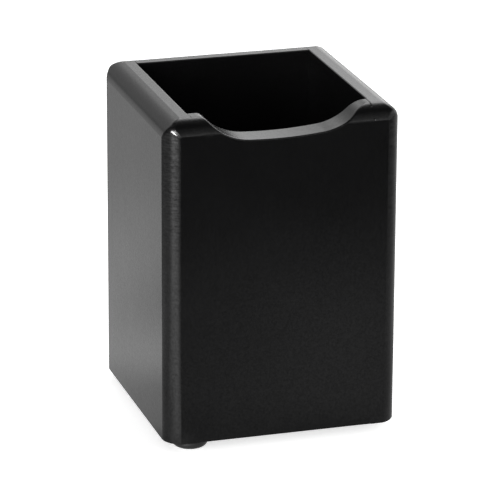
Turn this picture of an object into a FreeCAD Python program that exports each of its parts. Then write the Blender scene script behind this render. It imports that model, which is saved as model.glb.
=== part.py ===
import FreeCAD, Part
import os
from math import atan2, cos, hypot, sin, sqrt

V = FreeCAD.Vector

# A square, open-topped desk cup of painted wood. Two side panels run the full
# depth and the front and back panels butt between them, located by dowels. The
# floor is let into the four walls by a tongue, flush with their lower edges, and
# the cup stands on four stick-on rubber feet.
# Frame: millimetres, +Z up, front faces -Y, +X to the right of someone facing the
# front. The origin is on the standing surface, under the middle of the cup.

# Driving dimensions
BODY_WIDTH = 79.375          # 3 1/8 in, outside
BODY_DEPTH = 79.375
BODY_HEIGHT = 109.54         # 4 5/16 in, wood only
WALL = 9.525                 # 3/8 in boards
EDGE_RADIUS = 7.14           # round-over on the outer upright and top edges
ARRIS = 0.4                  # sanded easing of the other visible edges

FLOOR_THICKNESS = 6.35       # 1/4 in board
TONGUE_REACH = 3.2           # how far the floor's tongue enters each wall
TONGUE_THICKNESS = 3.175     # midway up the floor's edge

# The finger scoop was cut by eye: its lowest point is left of the middle, and its left shoulder
# is tighter than its right one
SCOOP_DEPTH = 7.78
SCOOP_LOWEST_X = -2.9
SCOOP_FLOOR_RADIUS = 150.0   # the bottom is a very flat arc
SCOOP_CORNER_RADIUS = 19.05
SCOOP_REACH = {"left": 24.6, "right": 32.7}  # lowest point to where a shoulder leaves the top
SCOOP_SHOULDER_RADIUS = {"left": 3.175, "right": 9.525}

DOWEL_RADIUS = 2.0
DOWEL_LENGTH = 16.0
DOWEL_IN_SIDE = 6.0          # how much of each dowel sits in the side panel
DOWEL_CHAMFER = 0.5
DOWEL_HEIGHTS = (26.0, 84.0)  # above the body's lower edge
GLUE_GAP = 0.05              # round each dowel
GLUE_POCKET = 0.5            # beyond each end of a dowel

FOOT_RADIUS = 6.0
FOOT_HEIGHT = 2.7
FOOT_EDGE_RADIUS = 2.0
ADHESIVE_RADIUS = 5.5
ADHESIVE_THICKNESS = 0.3
FOOT_INSET = 14.3            # from both outer faces to the middle of a foot
NEAR_FOOT_INSET = (9.7, 6.9)  # the front left foot was pressed on nearer the corner

# Derived places
HALF_WIDTH = BODY_WIDTH / 2
HALF_DEPTH = BODY_DEPTH / 2
INNER_X = HALF_WIDTH - WALL
INNER_Y = HALF_DEPTH - WALL
BASE_Z = FOOT_HEIGHT + ADHESIVE_THICKNESS
TOP_Z = BASE_Z + BODY_HEIGHT
SIDES = {"left": -1, "right": 1}
ENDS = {"front": -1, "back": 1}


def box(low, high):
    """An axis-aligned box between two corners."""
    size = [b - a for a, b in zip(low, high)]
    return Part.makeBox(*size, V(*low))


def edges_where(shape, keep):
    """The shape's edges whose bounding box passes the test."""
    return [edge for edge in shape.Edges if keep(edge.BoundBox)]


def ease(shape, radius, keep):
    """Round the chosen edges of a shape."""
    return shape.makeFillet(radius, edges_where(shape, keep))


def envelope():
    """The whole outside of the wooden body, as one solid block.

    Every round-over runs straight through to the end of its edge. Where three of them meet
    at a corner they leave shallow ridges, not a ball.
    """
    def rounded(along):
        """The plain block with its upright or top edges rounded in one direction only."""
        block = box((-HALF_WIDTH, -HALF_DEPTH, BASE_Z), (HALF_WIDTH, HALF_DEPTH, TOP_Z))
        return ease(block, EDGE_RADIUS,
                    lambda b: b.ZMax > BASE_Z + ARRIS and getattr(b, along) > EDGE_RADIUS)

    return rounded("XLength").common(rounded("YLength")).common(rounded("ZLength"))


def floor_panel():
    """The floor: a board that fills the opening, with a tongue round its edge."""
    top = BASE_Z + FLOOR_THICKNESS
    low = BASE_Z + (FLOOR_THICKNESS - TONGUE_THICKNESS) / 2
    reach_x, reach_y = INNER_X + TONGUE_REACH, INNER_Y + TONGUE_REACH
    board = box((-INNER_X, -INNER_Y, BASE_Z), (INNER_X, INNER_Y, top))
    tongue = box((-reach_x, -reach_y, low), (reach_x, reach_y, low + TONGUE_THICKNESS))
    return board.fuse(tongue).removeSplitter()


def dowels(radius, extra):
    """Every dowel, or the holes that take them, lying along X across the four joints."""
    pins = []
    for side in SIDES.values():
        for end in ENDS.values():
            for height in DOWEL_HEIGHTS:
                far = INNER_X + DOWEL_IN_SIDE + extra
                start = V(side * far, end * (HALF_DEPTH - WALL / 2), BASE_Z + height)
                length = DOWEL_LENGTH + 2 * extra
                pins.append(Part.makeCylinder(radius, length, start, V(-side, 0, 0)))
    return pins


def joinery():
    """All the wood taken out of the walls: the floor's groove and the dowel holes."""
    return [floor_panel()] + dowels(DOWEL_RADIUS + GLUE_GAP, GLUE_POCKET)


def side_panel(side, outside, cuts):
    """One full-depth side: the outer edges are round, the inner top edge is eased."""
    inner, outer = sorted((side * INNER_X, side * HALF_WIDTH))
    slab = box((inner, -HALF_DEPTH, BASE_Z), (outer, HALF_DEPTH, TOP_Z))
    panel = slab.common(outside)
    face_x = side * INNER_X
    panel = ease(panel, ARRIS, lambda b: b.ZMin > TOP_Z - ARRIS and b.YLength > BODY_DEPTH / 2
                 and abs(b.Center.x - face_x) < ARRIS)
    return panel.cut(cuts)


def back_panel(outside, cuts):
    """The back wall, between the sides."""
    slab = box((-INNER_X, INNER_Y, BASE_Z), (INNER_X, HALF_DEPTH, TOP_Z))
    panel = ease(slab.common(outside), ARRIS, lambda b: b.ZMin > TOP_Z - ARRIS
                 and abs(b.Center.y - INNER_Y) < ARRIS)
    return panel.cut(cuts)


def tangent_centre(side):
    """Centre of a scoop corner arc, as (distance from the lowest point, drop below the top).

    The arc touches the flat bottom arc from inside and the shoulder arc from outside,
    so its centre is where two circles about their centres meet.
    """
    flat_y = SCOOP_DEPTH - SCOOP_FLOOR_RADIUS
    gap_x, gap_y = SCOOP_REACH[side], SCOOP_SHOULDER_RADIUS[side] - flat_y
    gap = hypot(gap_x, gap_y)
    from_flat = SCOOP_FLOOR_RADIUS - SCOOP_CORNER_RADIUS
    from_shoulder = SCOOP_SHOULDER_RADIUS[side] + SCOOP_CORNER_RADIUS
    along = (gap**2 + from_flat**2 - from_shoulder**2) / (2 * gap)
    aside = sqrt(from_flat**2 - along**2)
    x = (along * gap_x - aside * gap_y) / gap
    y = (along * gap_y + aside * gap_x) / gap
    return x, flat_y + y


def scoop_half(side):
    """The scoop's outline from its lowest point to one side: three arcs end to end.

    Each arc is (start, point on the way, end) with points as (distance, drop).
    """
    cx, cy = tangent_centre(side)
    flat_y = SCOOP_DEPTH - SCOOP_FLOOR_RADIUS
    radius = SCOOP_SHOULDER_RADIUS[side]
    shoulder = (SCOOP_REACH[side], radius)

    def on(centre, radius, angle):
        return centre[0] + radius * sin(angle), centre[1] + radius * cos(angle)

    flat_angle = atan2(cx, cy - flat_y)
    steep = atan2(shoulder[0] - cx, shoulder[1] - cy)
    bottom = [on((0, flat_y), SCOOP_FLOOR_RADIUS, flat_angle * part) for part in (0, 0.5, 1)]
    middle = (flat_angle + steep) / 2
    corner = [on((cx, cy), SCOOP_CORNER_RADIUS, angle) for angle in (flat_angle, middle, steep)]
    lean = atan2(cx - shoulder[0], shoulder[1] - cy)
    top = [(shoulder[0] + radius * sin(lean * part), shoulder[1] - radius * cos(lean * part))
           for part in (1, 0.5, 0)]
    return [bottom, corner, top]


def front_outline():
    """The front panel seen from the front, with the scoop in its top edge."""
    def place(side, point):
        return V(SCOOP_LOWEST_X + SIDES[side] * point[0], -HALF_DEPTH, TOP_Z - point[1])

    arcs = []
    for side in SIDES:
        for arc in scoop_half(side):
            arcs.append(Part.Arc(*[place(side, point) for point in arc]).toShape())
    left, right = [place(side, (SCOOP_REACH[side], 0)) for side in SIDES]
    corners = [left, V(-INNER_X, -HALF_DEPTH, TOP_Z), V(-INNER_X, -HALF_DEPTH, BASE_Z),
               V(INNER_X, -HALF_DEPTH, BASE_Z), V(INNER_X, -HALF_DEPTH, TOP_Z), right]
    lines = [Part.LineSegment(a, b).toShape() for a, b in zip(corners, corners[1:])]
    return Part.Face(Part.Wire(Part.__sortEdges__(arcs + lines)))


def front_panel(outside, cuts):
    """The front wall, between the sides, with the finger scoop through its top edge."""
    slab = front_outline().extrude(V(0, WALL, 0))
    panel = ease(slab, ARRIS, lambda b: b.ZMin > TOP_Z - SCOOP_DEPTH - ARRIS
                 and b.YLength < ARRIS and abs(b.Center.y + INNER_Y) < ARRIS)
    return panel.common(outside).cut(cuts)


def dowel_pins():
    """The dowels, as separate pins with chamfered ends."""
    pins = [pin.makeChamfer(DOWEL_CHAMFER, edges_where(pin, lambda b: b.XLength < DOWEL_CHAMFER))
            for pin in dowels(DOWEL_RADIUS, 0)]
    return Part.makeCompound(pins)


def foot_places():
    """The middle of each foot, by name."""
    places = {}
    for end_name, end in ENDS.items():
        for side_name, side in SIDES.items():
            inset = (FOOT_INSET, FOOT_INSET)
            if (end_name, side_name) == ("front", "left"):
                inset = NEAR_FOOT_INSET
            middle = (side * (HALF_WIDTH - inset[0]), end * (HALF_DEPTH - inset[1]))
            places[end_name + "_" + side_name] = middle
    return places


def rubber_foot(x, y):
    """A round bumper with a well rounded lower edge, standing on the surface."""
    disc = Part.makeCylinder(FOOT_RADIUS, FOOT_HEIGHT, V(x, y, 0))
    return ease(disc, FOOT_EDGE_RADIUS, lambda b: b.ZMax < ARRIS)


def adhesive_pad(x, y):
    """The self-adhesive disc between a foot and the wood."""
    return Part.makeCylinder(ADHESIVE_RADIUS, ADHESIVE_THICKNESS, V(x, y, FOOT_HEIGHT))


def pieces():
    """Every node of the cup, by name."""
    outside, cuts = envelope(), joinery()
    made = {
        "front_panel": front_panel(outside, cuts),
        "back_panel": back_panel(outside, cuts),
        "floor_panel": floor_panel(),
        "joint_dowels": dowel_pins(),
    }
    for name, side in SIDES.items():
        made[name + "_side_panel"] = side_panel(side, outside, cuts)
    for name, (x, y) in foot_places().items():
        made[name + "_foot"] = rubber_foot(x, y)
        made[name + "_adhesive"] = adhesive_pad(x, y)
    return made


os.makedirs("parts", exist_ok=True)
for node, shape in pieces().items():
    shape.exportStep(os.path.join("parts", node + ".step"))
    print(node, len(shape.Solids), "solid(s)", round(shape.Volume / 1000, 2), "cm3",
          "valid" if shape.isValid() else "NOT VALID")
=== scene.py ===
from math import acos, ceil, cos, hypot, pi, radians, sin, sqrt

import bmesh
import bpy
from mathutils import Matrix, Vector, noise


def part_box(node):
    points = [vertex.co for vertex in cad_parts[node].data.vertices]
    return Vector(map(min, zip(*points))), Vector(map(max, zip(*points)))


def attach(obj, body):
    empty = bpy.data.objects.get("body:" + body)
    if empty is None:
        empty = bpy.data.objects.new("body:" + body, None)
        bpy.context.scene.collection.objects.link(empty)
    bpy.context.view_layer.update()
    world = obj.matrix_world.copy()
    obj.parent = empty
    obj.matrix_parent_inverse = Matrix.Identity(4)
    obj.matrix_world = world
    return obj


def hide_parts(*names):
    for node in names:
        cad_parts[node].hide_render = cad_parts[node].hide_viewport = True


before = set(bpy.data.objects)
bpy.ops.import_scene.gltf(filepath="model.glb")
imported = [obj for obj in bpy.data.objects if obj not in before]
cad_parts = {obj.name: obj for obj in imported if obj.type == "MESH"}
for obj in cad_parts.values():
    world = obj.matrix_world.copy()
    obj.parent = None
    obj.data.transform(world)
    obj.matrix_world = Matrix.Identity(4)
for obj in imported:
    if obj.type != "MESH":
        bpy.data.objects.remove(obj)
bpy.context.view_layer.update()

# A black painted wooden desk cup. Every length is in metres, in the CAD frame: +Z up, the
# scooped front faces -Y. Places come from the CAD nodes; the values below repeat the
# shape details that the nodes' boxes don't give.

MM = 0.001
EDGE_RADIUS = 7.14 * MM          # outer upright and top edges
ARC_INSET = 7.06 * MM            # from a face to the round-over's centre: a faint crease is left
FRONT_INSET = 6.80 * MM          # the same from the front face, whose creases are sharper
ARRIS = 0.4 * MM                 # sanded edges round the pocket and the scoop
LIP_ARRIS = 0.55 * MM            # the scoop's outer edge
SEAM_ARRIS = 0.03 * MM           # on the side panels along the glued joints
# Gap left open along the top of each glued joint, as (width, depth) at a wall's left and right
SEAMS = {"front": ((0.04 * MM, 0.06 * MM), (0.22 * MM, 0.80 * MM)),
         "back": ((0.20 * MM, 0.60 * MM), (0.04 * MM, 0.06 * MM))}
LOWER_ARRIS = 0.25 * MM          # edges of the underside
HAIR = 0.01 * MM                 # places closer than this are taken as the same
MERGE_DISTANCE = 1e-7            # points of a mesh closer than this become one

SHARP_ANGLE = radians(38)        # an edge that turns by more is shaded as sharp
WEAR_FROM = radians(18)          # the paint wears where an edge turns by more than this
WEAR_SPAN = radians(12)          # and is fully worn this much further on

# Waviness left by sanding, as (cycles per metre, depth), and where its pattern starts
WAVES = ((38.0, 0.020 * MM), (110.0, 0.008 * MM), (240.0, 0.008 * MM))
WAVE_ORIGIN = Vector((7.0, 3.0, 1.0))
WAVE_FADE = 4 * MM               # from a glued joint to where a wall has its full waviness

SCOOP_DEPTH = 7.78 * MM
SCOOP_LOWEST_X = -2.9 * MM       # the scoop is uneven, and its two shoulders differ
SCOOP_FLOOR_RADIUS = 150.0 * MM
SCOOP_CORNER_RADIUS = 19.05 * MM
SCOOP_LEFT = (24.6 * MM, 3.175 * MM)     # lowest point to shoulder, shoulder radius
SCOOP_RIGHT = (32.7 * MM, 9.525 * MM)

FOOT_EDGE_RADIUS = 2.0 * MM
FOOT_EDGE_STEPS = 12
SKIRT_EASE = 0.15 * MM           # upper edge of a foot
DISC_BULGE = 0.04 * MM           # how far an adhesive disc swells at half its height
HUB_SHARE = 0.3                  # a round piece's flat ends have an inner ring at this share

# Places read from the frame
side_low, side_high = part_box("right_side_panel")
floor_low, floor_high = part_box("floor_panel")
BASE_Z, TOP_Z = side_low.z, side_high.z
HALF_WIDTH, HALF_DEPTH = side_high.x, side_high.y
INNER_X = side_low.x
INNER_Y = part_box("back_panel")[0].y


# ---------------------------------------------------------------- mesh helpers

def in_joint(place):
    """Whether a point lies on a glued joint between a side panel and a wall."""
    return abs(abs(place.x) - INNER_X) < HAIR and abs(place.y) > INNER_Y - ARRIS


def new_piece(name, bm, material, replaced):
    """Turn a bmesh into a smooth-shaded piece that rides on the root body."""
    bmesh.ops.remove_doubles(bm, verts=bm.verts, dist=MERGE_DISTANCE)
    bmesh.ops.recalc_face_normals(bm, faces=bm.faces)
    for face in bm.faces:
        face.smooth = True
    for edge in bm.edges:
        edge.smooth = len(edge.link_faces) == 2 and edge.calc_face_angle() < SHARP_ANGLE
    wear = [0.0 if in_joint(vert.co) else
            max((edge.calc_face_angle(0.0) for edge in vert.link_edges), default=0.0)
            for vert in bm.verts]
    mesh = bpy.data.meshes.new(name)
    bm.to_mesh(mesh)
    bm.free()
    layer = mesh.attributes.new("wear", "FLOAT", "POINT")
    layer.data.foreach_set("value", [max(0.0, min(1.0, (angle - WEAR_FROM) / WEAR_SPAN))
                                     for angle in wear])
    piece = bpy.data.objects.new(name, mesh)
    bpy.context.scene.collection.objects.link(piece)
    weighted = piece.modifiers.new("weighted_normals", "WEIGHTED_NORMAL")
    weighted.keep_sharp = True
    mesh.materials.append(material)
    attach(piece, "root")
    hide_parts(replaced)
    return piece


def join_rows(bm, rows):
    """Faces between neighbouring closed rows of equally many points."""
    for row, after in zip(rows, rows[1:]):
        for i in range(len(row)):
            j = (i + 1) % len(row)
            bm.faces.new((row[i], row[j], after[j], after[i]))


def loft(rings):
    """A closed solid through rings of equally many points, capped at both ends."""
    bm = bmesh.new()
    rows = [[bm.verts.new(point) for point in ring] for ring in rings]
    join_rows(bm, rows)
    bm.faces.new(rows[0][::-1])
    bm.faces.new(rows[-1])
    return bm


def spaced(start, end, step):
    """Even values from start to end, about a step apart, both ends included."""
    count = max(1, ceil(abs(end - start) / step))
    return [start + (end - start) * i / count for i in range(count + 1)]


def wobble(point):
    """How far a hand-sanded face lies under the true one at a point."""
    place = Vector(point)
    sink = 0.0
    for frequency, depth in WAVES:
        sink += (0.5 + 0.5 * noise.noise(place * frequency + WAVE_ORIGIN)) * depth
    return sink


# ---------------------------------------------------------------- outlines

def circle_meet(centre_a, radius_a, centre_b, radius_b):
    """The left-hand meeting point of two circles."""
    gap_x, gap_y = centre_b[0] - centre_a[0], centre_b[1] - centre_a[1]
    gap = hypot(gap_x, gap_y)
    along = (gap**2 + radius_a**2 - radius_b**2) / (2 * gap)
    aside = sqrt(radius_a**2 - along**2)
    return (centre_a[0] + (along * gap_x - aside * gap_y) / gap,
            centre_a[1] + (along * gap_y + aside * gap_x) / gap)


def scoop_drop(x):
    """How far the front wall's top edge lies below the rim at x."""
    along = abs(x - SCOOP_LOWEST_X)
    reach, radius = SCOOP_LEFT if x < SCOOP_LOWEST_X else SCOOP_RIGHT
    flat = (0.0, SCOOP_DEPTH - SCOOP_FLOOR_RADIUS)
    corner = circle_meet(flat, SCOOP_FLOOR_RADIUS - SCOOP_CORNER_RADIUS,
                         (reach, radius), radius + SCOOP_CORNER_RADIUS)
    flat_end = corner[0] * SCOOP_FLOOR_RADIUS / (SCOOP_FLOOR_RADIUS - SCOOP_CORNER_RADIUS)
    share = SCOOP_CORNER_RADIUS / (SCOOP_CORNER_RADIUS + radius)
    corner_end = corner[0] + (reach - corner[0]) * share
    if along <= flat_end:
        return flat[1] + sqrt(SCOOP_FLOOR_RADIUS**2 - along**2)
    if along <= corner_end:
        return corner[1] + sqrt(SCOOP_CORNER_RADIUS**2 - (along - corner[0])**2)
    if along < reach:
        return radius - sqrt(radius**2 - (reach - along)**2)
    return 0.0


def corner_points(before, corner, after, size, count=5):
    """Points that round a corner of an outline, from the side before it to the one after."""
    start = corner + (before - corner).normalized() * size
    end = corner + (after - corner).normalized() * size
    points = []
    for i in range(count):
        t = i / (count - 1)
        points.append(start * (1 - t)**2 + corner * (2 * t * (1 - t)) + end * t**2)
    return points


def between(start, end, count):
    """The points that cut a line into equal parts, without its ends."""
    return [start.lerp(end, i / count) for i in range(1, count)]


def resampled(path, distances):
    """Points at given distances back from the end of a path."""
    points, left = [], list(distances)
    gone = 0.0
    for after, before in zip(path[::-1], path[-2::-1]):
        length = (before - after).length
        while left and left[0] <= gone + length + 1e-12:
            points.append(after.lerp(before, (left[0] - gone) / length if length else 0.0))
            left.pop(0)
        gone += length
    while left:
        points.append(path[0].copy())
        left.pop(0)
    return points[::-1]


# ---------------------------------------------------------------- wooden panels

STEP = 2.2 * MM                  # between the cuts along a panel
SCOOP_STEP = 0.5 * MM            # the same on the scooped wall
ARC_STEPS = 30
CREASE_TURN = radians(0.5)       # from a crease to the cuts beside it
LOW_CORNER_POINTS = 4

# A wall's cut: points back from its lip, then the rest of the outside, its top, its inside
LIP_START, LIP_STEP, LIP_POINTS = 0.6 * MM, 0.3 * MM, 44
WALL_OUTSIDE_STEPS, WALL_TOP_STEPS, WALL_INSIDE_STEPS = 42, 7, 44
SIDE_OUTSIDE_STEPS, SIDE_TOP_STEPS, SIDE_INSIDE_STEPS = 48, 5, 50
FLOOR_STEPS = 24

# Cuts of a wall, inward from its end: the slope of an open joint, two more, and the rest
SEAM_SLOPE, WALL_END_CUTS, WALL_END = 0.04 * MM, [0.5 * MM, 1.2 * MM], 2.0 * MM
# Cuts of a side panel: inside the end round-over, each side of a joint, and the rest
SIDE_END, SIDE_SEAM, SIDE_MIDDLE = 0.8 * MM, 0.1 * MM, 1.5 * MM

# Two round-overs blend over this much, on a scale where their radius is 1. The blend grows
# from nothing as a direction's smallest part rises by RIDGE_SPAN from RIDGE_FROM.
RIDGE_SOFTNESS = 0.16
RIDGE_FROM, RIDGE_SPAN = 0.2, 0.3


def wall_section(top, inset):
    """A front or back wall cut across, as (distance in from its outer face, height).

    It runs up the outside, over the rounded edge until the wall's top, and down the
    inside. The points keep their number whatever the height of the top.
    """
    thickness = HALF_DEPTH - INNER_Y
    outside = [Vector((0.0, BASE_Z))]
    for turn in turns(inset, ARC_INSET):
        _, out, up = rounded(0.0, cos(turn), sin(turn), inset)
        outside.append(Vector((inset - out, TOP_Z - ARC_INSET + up)))
    path = []
    for before, after in zip(outside, outside[1:]):
        if after.y < top:
            path.append(before)
            continue
        share = (top - before.y) / (after.y - before.y) if after.y > before.y else 0.0
        path += [before, before.lerp(after, share)]
        break
    else:
        path.append(outside[-1])
    length = sum((b - a).length for a, b in zip(path, path[1:]))
    near = [LIP_START + i * LIP_STEP for i in range(LIP_POINTS)]
    rest = length - LOWER_ARRIS - near[-1]
    far = [near[-1] + rest * i / WALL_OUTSIDE_STEPS for i in range(1, WALL_OUTSIDE_STEPS + 1)]
    up = resampled(path, near + far)
    lip = path[-1]
    inner_top = Vector((thickness, top))
    inner_low = Vector((thickness, BASE_Z))
    outer_low = Vector((0.0, BASE_Z))
    section = corner_points(inner_low, outer_low, up[0], LOWER_ARRIS, LOW_CORNER_POINTS)[:-1]
    section += up
    section += corner_points(up[-1], lip, inner_top, LIP_ARRIS)
    section += between(lip, inner_top, WALL_TOP_STEPS)
    section += corner_points(lip, inner_top, inner_low, ARRIS)
    section += between(inner_top, inner_low, WALL_INSIDE_STEPS)
    section += corner_points(inner_top, inner_low, outer_low, LOWER_ARRIS, LOW_CORNER_POINTS)
    return section


def wall_stations(seams, fine):
    """Places along X where a wall's section is taken, closer together at both ends."""
    left, right = [[0.0, width, width + SEAM_SLOPE] + WALL_END_CUTS for width, _ in seams]
    middle = spaced(-INNER_X + WALL_END, INNER_X - WALL_END, fine)
    return [-INNER_X + e for e in left] + middle + [INNER_X - e for e in right[::-1]]


def wall(end, side, scooped, material):
    """The front or back wall, lofted along X between the side panels."""
    rings, seams = [], SEAMS[end]
    for x in wall_stations(seams, SCOOP_STEP if scooped else STEP):
        top = TOP_Z - (scoop_drop(x) if scooped else 0.0)
        gap_width, gap_depth = seams[x > 0]
        if INNER_X - abs(x) < gap_width + HAIR:
            top -= gap_depth
        ring = []
        # the waviness runs out towards the side panels
        share = min(1.0, (INNER_X - abs(x)) / WAVE_FADE)
        for inward, height in wall_section(top, end_inset(side)):
            sink = wobble((x, side * HALF_DEPTH, height)) * share
            depth = inward + (sink if inward < EDGE_RADIUS else 0.0)
            ring.append((x, side * (HALF_DEPTH - depth),
                         height - (sink if height > top - ARRIS else 0.0)))
        rings.append(ring)
    name = end + "_panel"
    return new_piece(name + "_board", loft(rings), material, name)


def blended_max(a, b, width):
    """The larger of two values, blended where they differ by less than the width."""
    near = max(width - abs(a - b), 0.0) / max(width, 1e-9)
    return max(a, b) + near * near * width / 4


def rounded(u, v, w, depth_inset):
    """Where a direction from a round-over's centre meets the rounded body.

    The direction is split along width, depth and height, and depth_inset is the centre's
    distance from the front or back face. Straight round-overs of one radius meet at a corner
    in softened ridges. The flat faces cut each of them a little short.
    """
    blend = RIDGE_SOFTNESS * max(0.0, min(1.0, (min(u, v, w) - RIDGE_FROM) / RIDGE_SPAN))
    reach = blended_max(blended_max(hypot(u, v), hypot(u, w), blend), hypot(v, w), blend)
    scale = 1 / max(reach / EDGE_RADIUS, max(u, w) / ARC_INSET, v / depth_inset)
    return u * scale, v * scale, w * scale


def turns(first_inset, last_inset):
    """Angles from one face's normal to the next one's, close together at the creases."""
    first, last = acos(first_inset / EDGE_RADIUS), acos(last_inset / EDGE_RADIUS)
    step = (pi / 2 - first - last) / ARC_STEPS
    middle = spaced(first + CREASE_TURN, pi / 2 - last - CREASE_TURN, step)
    return ([0.0, first / 2, first - CREASE_TURN, first] + middle
            + [pi / 2 - last, pi / 2 - last + CREASE_TURN, pi / 2 - last / 2, pi / 2])


def end_inset(end):
    """The round-over centre's distance from the front (-1) or back (+1) face."""
    return FRONT_INSET if end < 0 else ARC_INSET


def side_ring(y, turn):
    """A side panel cut across, as (distance out from the middle, y, height).

    On the straight part the cut is at y and the turn is 0. At the ends y is the round-over's
    centre and the turn is the angle round it.
    """
    end = 1 if y > 0 else -1
    centre_x, centre_z = HALF_WIDTH - ARC_INSET, TOP_Z - ARC_INSET
    out, along, _ = rounded(cos(turn), sin(turn), 0.0, end_inset(end))
    outer, top, place = centre_x + out, centre_z + out, y + end * along
    inner_low, inner_top = Vector((INNER_X, BASE_Z)), Vector((INNER_X, top))
    outer_low, spring = Vector((outer, BASE_Z)), Vector((outer, centre_z))
    crest = Vector((centre_x, top))
    ease = ARRIS if abs(place) < INNER_Y else SEAM_ARRIS
    low = corner_points(inner_low, outer_low, spring, LOWER_ARRIS, LOW_CORNER_POINTS)
    low += between(outer_low, spring, SIDE_OUTSIDE_STEPS)
    arc = []
    for angle in turns(ARC_INSET, ARC_INSET):
        u, v, w = rounded(cos(turn) * cos(angle), sin(turn), cos(turn) * sin(angle),
                          end_inset(end))
        arc.append((centre_x + u, y + end * v, centre_z + w))
    high = between(crest, inner_top, SIDE_TOP_STEPS)
    high += corner_points(crest, inner_top, inner_low, ease)
    high += between(inner_top, inner_low, SIDE_INSIDE_STEPS)
    high += corner_points(inner_top, inner_low, outer_low, LOWER_ARRIS, LOW_CORNER_POINTS)
    return [(p.x, place, p.y) for p in low] + arc + [(p.x, place, p.y) for p in high]


def side_stations():
    """The (y, turn) pairs at which a side panel is cut, from front to back."""
    front, back = end_inset(-1) - HALF_DEPTH, HALF_DEPTH - end_inset(1)
    middle = [front + SIDE_END, -INNER_Y - SIDE_SEAM, -INNER_Y + SIDE_SEAM]
    middle += spaced(-INNER_Y + SIDE_MIDDLE, INNER_Y - SIDE_MIDDLE, STEP)
    middle += [INNER_Y - SIDE_SEAM, INNER_Y + SIDE_SEAM, back - SIDE_END]
    # the last three turns lie in the flat face, which the loft's cap makes
    return ([(front, turn) for turn in turns(ARC_INSET, FRONT_INSET)[-4::-1]]
            + [(y, 0.0) for y in middle]
            + [(back, turn) for turn in turns(ARC_INSET, ARC_INSET)[:-3]])


def side_panel(name, side, material):
    """A side panel, lofted along Y over the cup's full depth."""
    rings = []
    wavy_from = INNER_X + EDGE_RADIUS / 3
    for y, turn in side_stations():
        ring = []
        for out, place, height in side_ring(y, turn):
            sink = wobble((side * out, place, height)) if out > wavy_from else 0.0
            ring.append((side * (out - sink), place, height))
        rings.append(ring)
    return new_piece(name + "_board", loft(rings), material, name)


def square_ring(half_x, half_y, z, count):
    """Points round a rectangle, the same number on each side."""
    corners = [(-half_x, -half_y), (half_x, -half_y), (half_x, half_y), (-half_x, half_y)]
    ring = []
    for (ax, ay), (bx, by) in zip(corners, corners[1:] + corners[:1]):
        ring += [(ax + (bx - ax) * i / count, ay + (by - ay) * i / count, z) for i in range(count)]
    return ring


def floor_board(material):
    """The floor board, with a tongue half its thickness that sits in the walls' groove."""
    reach = floor_high.x - INNER_X
    quarter = (floor_high.z - floor_low.z) / 4
    ease = LOWER_ARRIS
    levels = [(-ease, floor_low.z), (0.0, floor_low.z + ease), (0.0, floor_low.z + quarter),
              (reach, floor_low.z + quarter), (reach, floor_high.z - quarter),
              (0.0, floor_high.z - quarter), (0.0, floor_high.z - ease / 2),
              (-ease / 2, floor_high.z)]
    rings = [square_ring(INNER_X + out, INNER_Y + out, z, FLOOR_STEPS) for out, z in levels]
    return new_piece("floor_panel_board", loft(rings), material, "floor_panel")


# ---------------------------------------------------------------- feet

def lathe(profile, middle, count=72):
    """A solid of revolution about the vertical through the middle, from (radius, z) points."""
    bm = bmesh.new()
    rows = []
    for radius, z in profile:
        rows.append([bm.verts.new((middle.x + radius * cos(2 * pi * i / count),
                                   middle.y + radius * sin(2 * pi * i / count), z))
                     for i in range(count)])
    join_rows(bm, rows)
    for row, order in ((rows[0], -1), (rows[-1], 1)):
        tip = bm.verts.new((middle.x, middle.y, row[0].co.z))
        for i in range(count):
            a, b = row[i], row[(i + 1) % count]
            bm.faces.new((a, b, tip)[::order])
    return bm


def foot(name, material):
    """A rubber bumper: flat underside, well rounded edge, straight skirt."""
    low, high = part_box(name + "_foot")
    radius, middle = (high.x - low.x) / 2, (low + high) / 2
    profile = [(radius * HUB_SHARE, low.z), (radius - FOOT_EDGE_RADIUS, low.z)]
    for i in range(1, FOOT_EDGE_STEPS + 1):
        angle = i / FOOT_EDGE_STEPS * pi / 2
        profile.append((radius - FOOT_EDGE_RADIUS * (1 - sin(angle)),
                        low.z + FOOT_EDGE_RADIUS * (1 - cos(angle))))
    profile += [(radius, high.z - SKIRT_EASE), (radius - SKIRT_EASE, high.z),
                (radius * HUB_SHARE, high.z)]
    return new_piece(name + "_bumper", lathe(profile, middle), material,
                     name + "_foot")


def adhesive(name, material):
    """The adhesive disc over a foot, its edge swollen a little at half its height."""
    low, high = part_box(name + "_adhesive")
    radius, middle = (high.x - low.x) / 2, (low + high) / 2
    profile = [(radius * HUB_SHARE, low.z), (radius - DISC_BULGE, low.z),
               (radius, (low.z + high.z) / 2),
               (radius - DISC_BULGE, high.z), (radius * HUB_SHARE, high.z)]
    return new_piece(name + "_disc", lathe(profile, middle), material,
                     name + "_adhesive")


# ---------------------------------------------------------------- materials

def plug(tree, value, socket):
    """Give a socket a number or another node's output."""
    if isinstance(value, (int, float)):
        socket.default_value = value
    else:
        tree.links.new(value, socket)


def math_node(tree, operation, a, b=0.0):
    node = tree.nodes.new("ShaderNodeMath")
    node.operation = operation
    plug(tree, a, node.inputs[0])
    plug(tree, b, node.inputs[1])
    return node.outputs[0]


def mix_node(tree, factor, a, b):
    """A mix of two numbers."""
    node = tree.nodes.new("ShaderNodeMix")
    node.data_type = "FLOAT"
    plug(tree, factor, node.inputs[0])
    plug(tree, a, node.inputs[2])
    plug(tree, b, node.inputs[3])
    return node.outputs[0]


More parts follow.
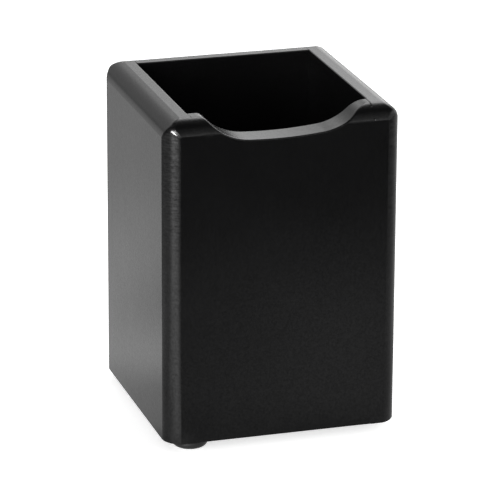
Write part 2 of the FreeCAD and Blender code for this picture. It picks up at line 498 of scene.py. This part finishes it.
class Nodes:
    """Short-hand for building a node material."""

    def __init__(self, name):
        self.material = bpy.data.materials.new(name)
        self.material.use_nodes = True
        self.tree = self.material.node_tree
        self.shader = self.tree.nodes["Principled BSDF"]
        self.coords = self.tree.nodes.new("ShaderNodeTexCoord").outputs["Object"]

    def add(self, kind, **settings):
        node = self.tree.nodes.new(kind)
        for key, value in settings.items():
            setattr(node, key, value)
        return node

    def link(self, source, target):
        self.tree.links.new(source, target)

    def stretched(self, x, y, z):
        """Object coordinates in cycles per metre along each axis."""
        mapping = self.add("ShaderNodeMapping")
        mapping.inputs["Scale"].default_value = (x, y, z)
        self.link(self.coords, mapping.inputs["Vector"])
        return mapping.outputs["Vector"]

    def noise(self, vector, detail=2.0, roughness=0.5):
        node = self.add("ShaderNodeTexNoise")
        node.inputs["Scale"].default_value = 1.0
        node.inputs["Detail"].default_value = detail
        node.inputs["Roughness"].default_value = roughness
        self.link(vector, node.inputs["Vector"])
        return node.outputs["Fac"]

    def math(self, operation, a, b=0.0):
        return math_node(self.tree, operation, a, b)

    def mix(self, factor, a, b):
        return mix_node(self.tree, factor, a, b)

    def ramp(self, value, low, high, at=(0.0, 1.0)):
        node = self.add("ShaderNodeMapRange")
        node.inputs["From Min"].default_value = at[0]
        node.inputs["From Max"].default_value = at[1]
        node.inputs["To Min"].default_value = low
        node.inputs["To Max"].default_value = high
        self.link(value, node.inputs["Value"])
        return node.outputs["Result"]

    def colour(self, value, dark, light):
        node = self.add("ShaderNodeValToRGB")
        node.color_ramp.elements[0].color = (*dark, 1)
        node.color_ramp.elements[1].color = (*light, 1)
        self.link(value, node.inputs["Fac"])
        self.link(node.outputs["Color"], self.shader.inputs["Base Color"])

    def bump(self, height, depth, under=None):
        """A bump layer whose height runs from 0 to 1 over a depth in metres."""
        node = self.add("ShaderNodeBump")
        node.inputs["Strength"].default_value = 1.0
        node.inputs["Distance"].default_value = depth
        self.link(height, node.inputs["Height"])
        if under is not None:
            self.link(under, node.inputs["Normal"])
        self.link(node.outputs["Normal"], self.shader.inputs["Normal"])
        return node.outputs["Normal"]


PAINT_DARK, PAINT_LIGHT = (0.0012, 0.0012, 0.0013), (0.0065, 0.0065, 0.0068)
LINE_DEPTH, SKIN_DEPTH, MARK_DEPTH = 2.4e-6, 1.8e-5, 5.0e-5     # bump of the paint, metres
MARK_GLOSS = 1.3                 # how much the cutter marks change the paint's gloss
MARK_HEIGHTS = (0.04, 0.11)      # the marks grow stronger between these heights


def painted_wood(name, along_x):
    """Satin black paint: sprayed skin, faint grain and sanding lines showing through.

    Frequencies are in cycles per metre. The grain runs upright, and on level faces there are
    sanding lines along X or Y instead.
    """
    n = Nodes(name)
    n.shader.inputs["IOR"].default_value = 1.30
    facing = n.add("ShaderNodeSeparateXYZ")
    n.link(n.add("ShaderNodeNewGeometry").outputs["Normal"], facing.inputs[0])
    level = n.ramp(n.math("ABSOLUTE", facing.outputs["Z"]), 0.0, 1.0, (0.5, 0.95))
    grain = n.noise(n.stretched(1500, 1500, 45), 3.0, 0.6)
    across = n.stretched(60, 2600, 2600) if along_x else n.stretched(2600, 60, 2600)
    lines = n.mix(level, grain, n.noise(across, 2.0))
    skin = n.noise(n.stretched(900, 900, 1200), 2.0, 0.55)
    patches = n.noise(n.stretched(60, 60, 60), 2.0)
    specks = n.noise(n.stretched(2400, 2400, 2400), 2.0)

    # worn edges, paler and rougher
    worn = n.add("ShaderNodeAttribute", attribute_name="wear").outputs["Fac"]
    uneven = n.ramp(n.noise(n.stretched(500, 500, 500)), 0.0, 1.0, (0.45, 0.7))
    rubbed = n.math("MULTIPLY", worn, uneven)
    shade = n.math("ADD", n.math("MULTIPLY", patches, 0.3), n.math("MULTIPLY", specks, 0.4))
    n.colour(n.math("ADD", shade, n.math("MULTIPLY", rubbed, 0.5)), PAINT_DARK, PAINT_LIGHT)
    rough = n.math("ADD", n.ramp(patches, -0.02, 0.02), n.ramp(lines, 0.19, 0.24))
    n.link(n.math("ADD", rough, n.math("MULTIPLY", rubbed, 0.10)), n.shader.inputs["Roughness"])

    # cutter marks across the upright round-overs, fading towards the foot
    skinned = n.bump(skin, SKIN_DEPTH, n.bump(lines, LINE_DEPTH))
    turned = n.math("ABSOLUTE", n.math("MULTIPLY", facing.outputs["X"], facing.outputs["Y"]))
    place = n.add("ShaderNodeSeparateXYZ")
    n.link(n.coords, place.inputs[0])
    fading = n.ramp(place.outputs["Z"], 0.15, 1.0, MARK_HEIGHTS)
    marks = n.noise(n.stretched(350, 350, 2100), 2.0, 0.6)
    marked = n.math("MULTIPLY", n.ramp(turned, 0.0, 1.0, (0.1, 0.35)), fading)
    n.bump(n.math("MULTIPLY", marks, marked), MARK_DEPTH, skinned)
    swing = n.math("MULTIPLY", n.math("SUBTRACT", marks, 0.5), marked)
    fine = n.ramp(n.noise(n.stretched(1500, 1500, 1500), 1.0), 0.38, 0.62, (0.25, 0.75))
    gloss = n.math("ADD", n.math("MULTIPLY", swing, MARK_GLOSS), fine)
    n.link(gloss, n.shader.inputs["Specular IOR Level"])
    return n.material


def foot_rubber():
    """Moulded black rubber, slightly glossy, with fine specks of dust."""
    n = Nodes("foot_rubber")
    n.shader.inputs["IOR"].default_value = 1.45
    skin = n.noise(n.stretched(2200, 2200, 2200), 3.0, 0.6)
    patches = n.noise(n.stretched(400, 400, 400), 2.0)
    n.colour(patches, (0.004, 0.004, 0.004), (0.010, 0.010, 0.010))
    n.link(n.ramp(patches, 0.28, 0.42), n.shader.inputs["Roughness"])
    n.bump(skin, 1.2e-5)
    return n.material


def adhesive_film():
    """Pale acrylic adhesive."""
    n = Nodes("adhesive_film")
    skin = n.noise(n.stretched(900, 900, 900), 2.0)
    n.colour(skin, (0.30, 0.28, 0.24), (0.42, 0.40, 0.34))
    n.link(n.ramp(skin, 0.45, 0.6), n.shader.inputs["Roughness"])
    n.bump(skin, 1.0e-5)
    return n.material


def dowel_wood():
    """Plain beech, with flecks along the pin."""
    n = Nodes("dowel_wood")
    grain = n.noise(n.stretched(120, 2400, 2400), 4.0, 0.6)
    n.colour(grain, (0.42, 0.27, 0.14), (0.66, 0.47, 0.28))
    n.link(n.ramp(grain, 0.5, 0.7), n.shader.inputs["Roughness"])
    n.bump(grain, 4.0e-5)
    return n.material


# ---------------------------------------------------------------- studio

def direction(azimuth, elevation):
    """Unit vector: azimuth 0 is +Y, 90 is +X, elevation above the horizon."""
    a, e = radians(azimuth), radians(elevation)
    return Vector((sin(a) * cos(e), cos(a) * cos(e), sin(e)))


# How bright the surroundings are, by elevation (rows) and azimuth (columns), in degrees.
# Azimuth 0 is +Y and 90 is +X. These values and TABLE's stand for no real lamps: they were worked
# out by least squares from the shading in the photograph, and some were then changed.
TENT_AZIMUTHS = (-180, -150, -125, -100, -70, -45, -25, -10, 2, 12, 22, 34, 50, 75, 110, 140, 160)
TENT = {
    0: (0.88, 3.57, 2.77, 1.87, 0.38, 0.06, 0.46, 0.48, 0.06,
        2.92, 2.64, 3.30, 3.40, 3.12, 2.58, 1.93, 1.07),
    9: (0.06, 3.64, 3.09, 1.87, 0.32, 0.06, 0.84, 0.69, 0.06,
        1.27, 1.35, 2.37, 3.07, 3.10, 2.84, 1.87, 0.60),
    18: (0.50, 3.05, 3.01, 1.82, 0.28, 0.11, 0.83, 0.96, 0.96,
         1.60, 3.11, 4.08, 2.86, 2.87, 2.91, 1.91, 3.00),
    30: (0.40, 1.60, 1.85, 1.30, 0.25, 0.45, 1.10, 1.77, 3.28,
         0.98, 3.99, 5.33, 2.61, 2.05, 2.30, 2.10, 0.90),
    45: (0.06, 0.06, 0.67, 0.47, 0.18, 0.69, 1.28, 0.89, 1.92,
         4.25, 7.86, 7.11, 2.67, 0.06, 0.06, 0.80, 0.45),
    62: (0.06, 0.06, 0.06, 0.06, 0.14, 0.80, 0.06, 0.06, 0.35,
         1.02, 1.58, 0.95, 0.38, 0.36, 0.06, 0.06, 0.06),
    90: (0.10,) * len(TENT_AZIMUTHS),
}

# How bright the paint sees the table, by distance from the middle in metres and by azimuth
TABLE_AZIMUTHS = (-180, -155, -138, -122, -104, -80, -50, -25, 0, 14, 40, 110, 160)
TABLE = {
    0.045: (0.53, 0.55, 0.43, 0.31, 0.55, 0.62, 0.74, 1.23, 0.92,
            0.30, 0.15, 0.65, 0.44),
    0.08: (0.68, 0.43, 2.49, 1.01, 0.56, 0.51, 1.02, 1.02, 0.87,
           0.25, 0.10, 0.52, 0.80),
    0.15: (0.52, 0.06, 3.07, 2.60, 0.99, 0.82, 0.38, 0.99, 0.84,
           0.55, 0.65, 0.70, 0.81),
    0.3: (0.06, 0.06, 2.34, 3.47, 0.92, 0.71, 0.29, 0.77, 0.48,
          0.60, 0.75, 0.55, 0.14),
}
TABLE_LIFT = 0.68                # brightness added to the table as the camera sees it
TABLE_HALF_WIDTH = 6.0


def ramp_of(tree, azimuth, azimuths, values):
    """A brightness that eases from one azimuth's value to the next."""
    peak = max(max(values), 1e-3)
    ramp = tree.nodes.new("ShaderNodeValToRGB")
    ramp.color_ramp.interpolation = "EASE"
    stops = [((a + 180) / 360, v / peak) for a, v in zip(azimuths, values)]
    stops.append((1.0, values[0] / peak))
    elements = ramp.color_ramp.elements
    while len(elements) < len(stops):
        elements.new(0.5)
    for element, (place, value) in zip(elements, stops):
        element.position = place
        element.color = (value, value, value, 1)
    tree.links.new(azimuth, ramp.inputs["Fac"])
    return math_node(tree, "MULTIPLY", ramp.outputs["Color"], peak)


def brightness(tree, coords, azimuths, table, measure):
    """A table of brightness by azimuth and one more measure of the place, made smooth."""
    split = tree.nodes.new("ShaderNodeSeparateXYZ")
    tree.links.new(coords, split.inputs[0])
    x, y, z = split.outputs
    turn = math_node(tree, "DIVIDE", math_node(tree, "ARCTAN2", x, y), 2 * pi)
    azimuth = math_node(tree, "ADD", turn, 0.5)
    if measure == "elevation":
        place = math_node(tree, "MULTIPLY", math_node(tree, "ARCSINE", z), 180 / pi)
    else:
        squares = [math_node(tree, "MULTIPLY", part, part) for part in (x, y)]
        place = math_node(tree, "SQRT", math_node(tree, "ADD", *squares))
    total, before = None, None
    for at, values in table.items():
        level = ramp_of(tree, azimuth, azimuths, values)
        if total is not None:
            share = tree.nodes.new("ShaderNodeMapRange")
            share.interpolation_type = "SMOOTHSTEP"
            share.inputs["From Min"].default_value = before
            share.inputs["From Max"].default_value = at
            tree.links.new(place, share.inputs["Value"])
            level = mix_node(tree, share.outputs["Result"], total, level)
        total, before = level, at
    return total


def mixed(tree, factor, first, second):
    """A mix of two shaders."""
    mix = tree.nodes.new("ShaderNodeMixShader")
    for socket, source in zip(mix.inputs, (factor, first, second)):
        tree.links.new(source, socket)
    return mix.outputs[0]


def camera_sees(tree, seen, unseen):
    """One shader for the camera's rays and another for all the others."""
    path = tree.nodes.new("ShaderNodeLightPath")
    return mixed(tree, path.outputs["Is Camera Ray"], unseen, seen)


def tent():
    """The world: plain white to the camera, the TENT brightness to every other ray."""
    world = bpy.data.worlds.new("tent")
    bpy.context.scene.world = world
    world.use_nodes = True
    tree = world.node_tree
    nodes, links = tree.nodes, tree.links
    nodes.clear()
    coords = nodes.new("ShaderNodeTexCoord").outputs["Generated"]
    soft = nodes.new("ShaderNodeBackground")
    links.new(brightness(tree, coords, TENT_AZIMUTHS, TENT, "elevation"), soft.inputs["Strength"])
    plain = nodes.new("ShaderNodeBackground")
    plain.inputs["Color"].default_value = (1, 1, 1, 1)
    out = nodes.new("ShaderNodeOutputWorld")
    links.new(camera_sees(tree, plain.outputs[0], soft.outputs[0]), out.inputs["Surface"])


def table_top():
    """A white table, lifted in brightness so that the camera sees little but the near shadow.

    Every other ray sees the TABLE brightness instead. From below the table is clear.
    """
    bm = bmesh.new()
    bmesh.ops.create_grid(bm, x_segments=2, y_segments=2, size=TABLE_HALF_WIDTH)
    mesh = bpy.data.meshes.new("table_top")
    bm.to_mesh(mesh)
    bm.free()
    table = bpy.data.objects.new("table_top", mesh)
    bpy.context.scene.collection.objects.link(table)
    material = bpy.data.materials.new("table_top")
    material.use_nodes = True
    tree = material.node_tree
    nodes, links = tree.nodes, tree.links
    nodes.clear()
    white = nodes.new("ShaderNodeBsdfDiffuse")
    white.inputs["Color"].default_value = (0.9, 0.9, 0.9, 1)
    lift = nodes.new("ShaderNodeEmission")
    lift.inputs["Strength"].default_value = TABLE_LIFT
    seen = nodes.new("ShaderNodeAddShader")
    links.new(white.outputs[0], seen.inputs[0])
    links.new(lift.outputs[0], seen.inputs[1])
    coords = nodes.new("ShaderNodeTexCoord").outputs["Object"]
    glow = nodes.new("ShaderNodeEmission")
    links.new(brightness(tree, coords, TABLE_AZIMUTHS, TABLE, "distance"), glow.inputs["Strength"])
    above = camera_sees(tree, seen.outputs[0], glow.outputs[0])
    clear = nodes.new("ShaderNodeBsdfTransparent")
    below = nodes.new("ShaderNodeNewGeometry").outputs["Backfacing"]
    out = nodes.new("ShaderNodeOutputMaterial")
    links.new(mixed(tree, below, above, clear.outputs[0]), out.inputs["Surface"])
    mesh.materials.append(material)


def lamp(name, azimuth, elevation, distance, width, height, power):
    """A soft box aimed at the cup's middle, hidden from diffuse rays."""
    data = bpy.data.lights.new(name, "AREA")
    data.shape = "RECTANGLE"
    data.size, data.size_y = width, height
    data.energy = power
    light = bpy.data.objects.new(name, data)
    bpy.context.scene.collection.objects.link(light)
    aim = Vector((0, 0, (BASE_Z + TOP_Z) / 2))
    away = direction(azimuth, elevation)
    light.location = aim + away * distance
    light.visible_diffuse = False
    light.rotation_mode = "QUATERNION"
    light.rotation_quaternion = away.to_track_quat("Z", "Y")


CAMERA_AZIMUTH, CAMERA_ELEVATION = radians(-17.135), radians(18.98)
CAMERA_ROLL = radians(0.305)
CAMERA_DISTANCE = 1.18749
CAMERA_AIM = (0.464 * MM, 0.0, BASE_Z + 50.62 * MM)
SENSOR_MM, LENS_MM = 36.0, 255.96648
CLIP_NEAR, CLIP_FAR = 0.05, 60.0


def camera():
    """The camera, from the front left and a little above."""
    azimuth, elevation = CAMERA_AZIMUTH, CAMERA_ELEVATION
    data = bpy.data.cameras.new("camera")
    data.sensor_width = SENSOR_MM
    data.lens = LENS_MM
    data.dof.use_dof = False
    data.clip_start, data.clip_end = CLIP_NEAR, CLIP_FAR
    cam = bpy.data.objects.new("camera", data)
    bpy.context.scene.collection.objects.link(cam)
    back = Vector((sin(azimuth) * cos(elevation), -cos(azimuth) * cos(elevation), sin(elevation)))
    cam.location = Vector(CAMERA_AIM) + back * CAMERA_DISTANCE
    turn = (-back).to_track_quat("-Z", "Y").to_matrix().to_4x4()
    turn = turn @ Matrix.Rotation(CAMERA_ROLL, 4, "Z")
    cam.rotation_mode = "QUATERNION"
    cam.rotation_quaternion = turn.to_quaternion()
    bpy.context.scene.camera = cam


def film():
    """Plain tones, with noise removal."""
    scene = bpy.context.scene
    scene.view_settings.view_transform = "Standard"
    scene.view_settings.look = "None"
    scene.view_settings.exposure = 0.0
    scene.cycles.use_denoising = True


# ---------------------------------------------------------------- the scene

def main():
    camera()
    film()
    tent()
    table_top()
    lamp("spark_light", azimuth=-133, elevation=17, distance=1.2,
         width=0.66, height=0.42, power=110.0)

    along_x = painted_wood("painted_wood_x", True)
    along_y = painted_wood("painted_wood_y", False)
    wall("front", -1, True, along_x)
    wall("back", 1, False, along_x)
    side_panel("left_side_panel", -1, along_y)
    side_panel("right_side_panel", 1, along_y)
    floor_board(along_x)
    rubber, film_material = foot_rubber(), adhesive_film()
    for end in ("front", "back"):
        for side in ("left", "right"):
            foot(end + "_" + side, rubber)
            adhesive(end + "_" + side, film_material)
    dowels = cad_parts["joint_dowels"]
    dowels.data.materials.clear()
    dowels.data.materials.append(dowel_wood())


main()
